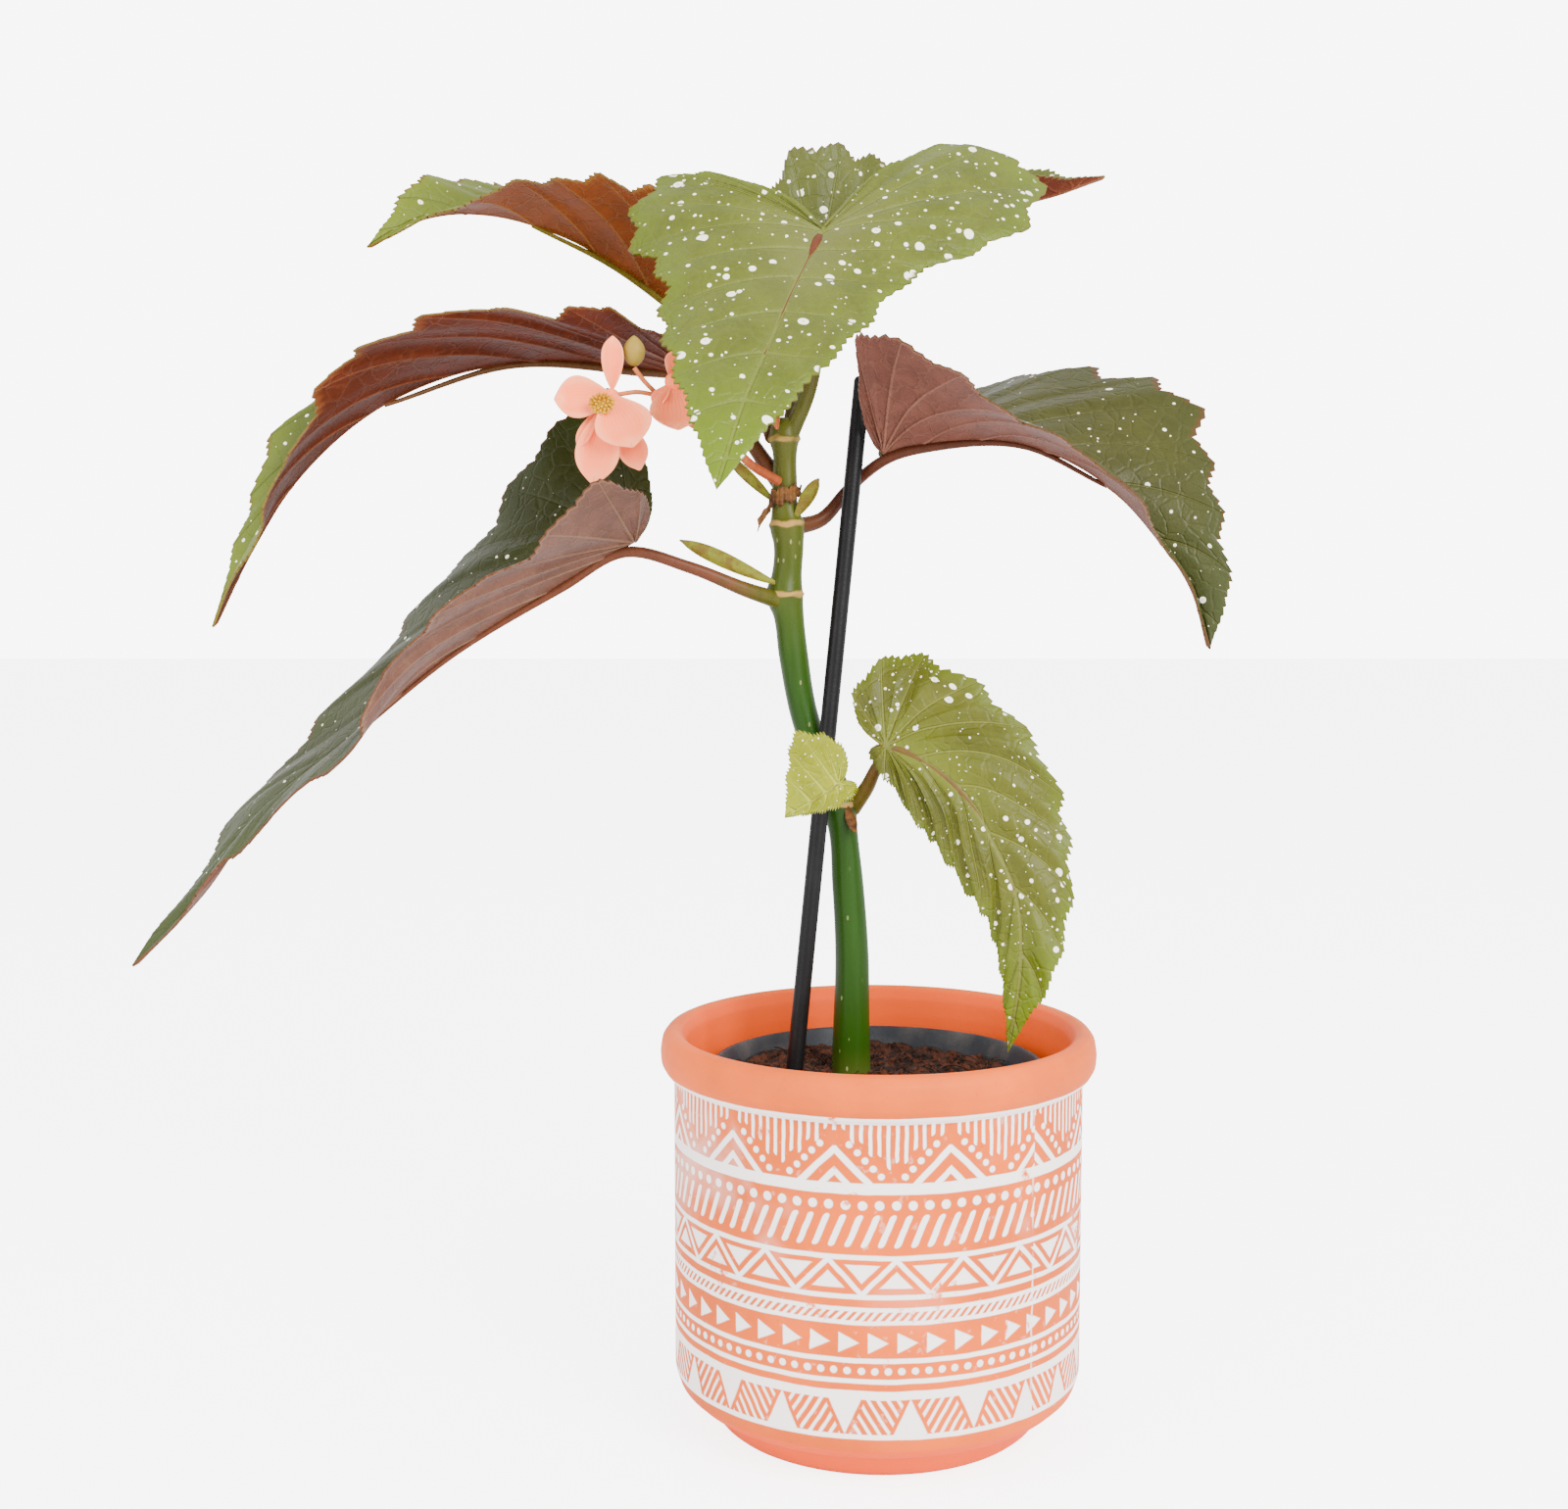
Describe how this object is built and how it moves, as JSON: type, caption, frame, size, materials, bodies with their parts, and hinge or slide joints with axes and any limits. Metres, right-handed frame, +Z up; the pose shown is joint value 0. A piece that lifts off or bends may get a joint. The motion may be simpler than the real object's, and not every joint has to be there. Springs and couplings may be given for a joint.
{
  "type": "potted cane begonia",
  "caption": "Cane begonia with spotted angel-wing leaves and coral flowers, in a nursery pot inside a white-patterned terracotta cover pot, beside a dark support stake",
  "frame": {"origin": "centre of the cover pot's flat foot, on the surface it stands on", "axes": "+Z up along the pot's axis; the plant's front, with the open flower, looks along -Y; the long low leaf reaches towards -X"},
  "size_m": [0.3704, 0.1882, 0.4621],
  "materials": {
    "terracotta": "matt fired clay with a white wash",
    "nursery_plastic": "thin moulded plastic, satin",
    "soil": "moist coir and bark mix, rough",
    "stake_plastic": "satin",
    "cane_skin": "smooth green skin, slightly glossy",
    "leaf_blade": "waxy upper face, matt red underside",
    "flower_stalk_skin": "smooth fleshy skin",
    "petal": "soft and slightly translucent",
    "stamen": "matt",
    "bud_skin": "soft, satin",
    "stipule_green": "thin, satin",
    "stipule_dry": "dry and papery"
  },
  "bodies": {
    "root": {"outer_pot": "terracotta", "nursery_pot": "nursery_plastic", "potting_soil": "soil", "support_stake": "stake_plastic", "cane": "cane_skin", "leaf_top_left": "leaf_blade", "leaf_middle_left": "leaf_blade", "leaf_low_left": "leaf_blade", "leaf_top_front": "leaf_blade", "leaf_top_back": "leaf_blade", "leaf_right": "leaf_blade", "leaf_young": "leaf_blade", "leaf_bud": "leaf_blade", "flower_stalk": "flower_stalk_skin", "front_bloom": "petal", "side_bloom": "petal", "bloom_stamens": "stamen", "flower_bud": "bud_skin", "stipule_upright": "stipule_green", "stipule_long": "stipule_green", "stipule_crescent": "stipule_green", "stipule_top": "flower_stalk_skin", "stipule_low": "stipule_dry", "stipule_wrapped": "stipule_dry"}
  },
  "joints": []
}
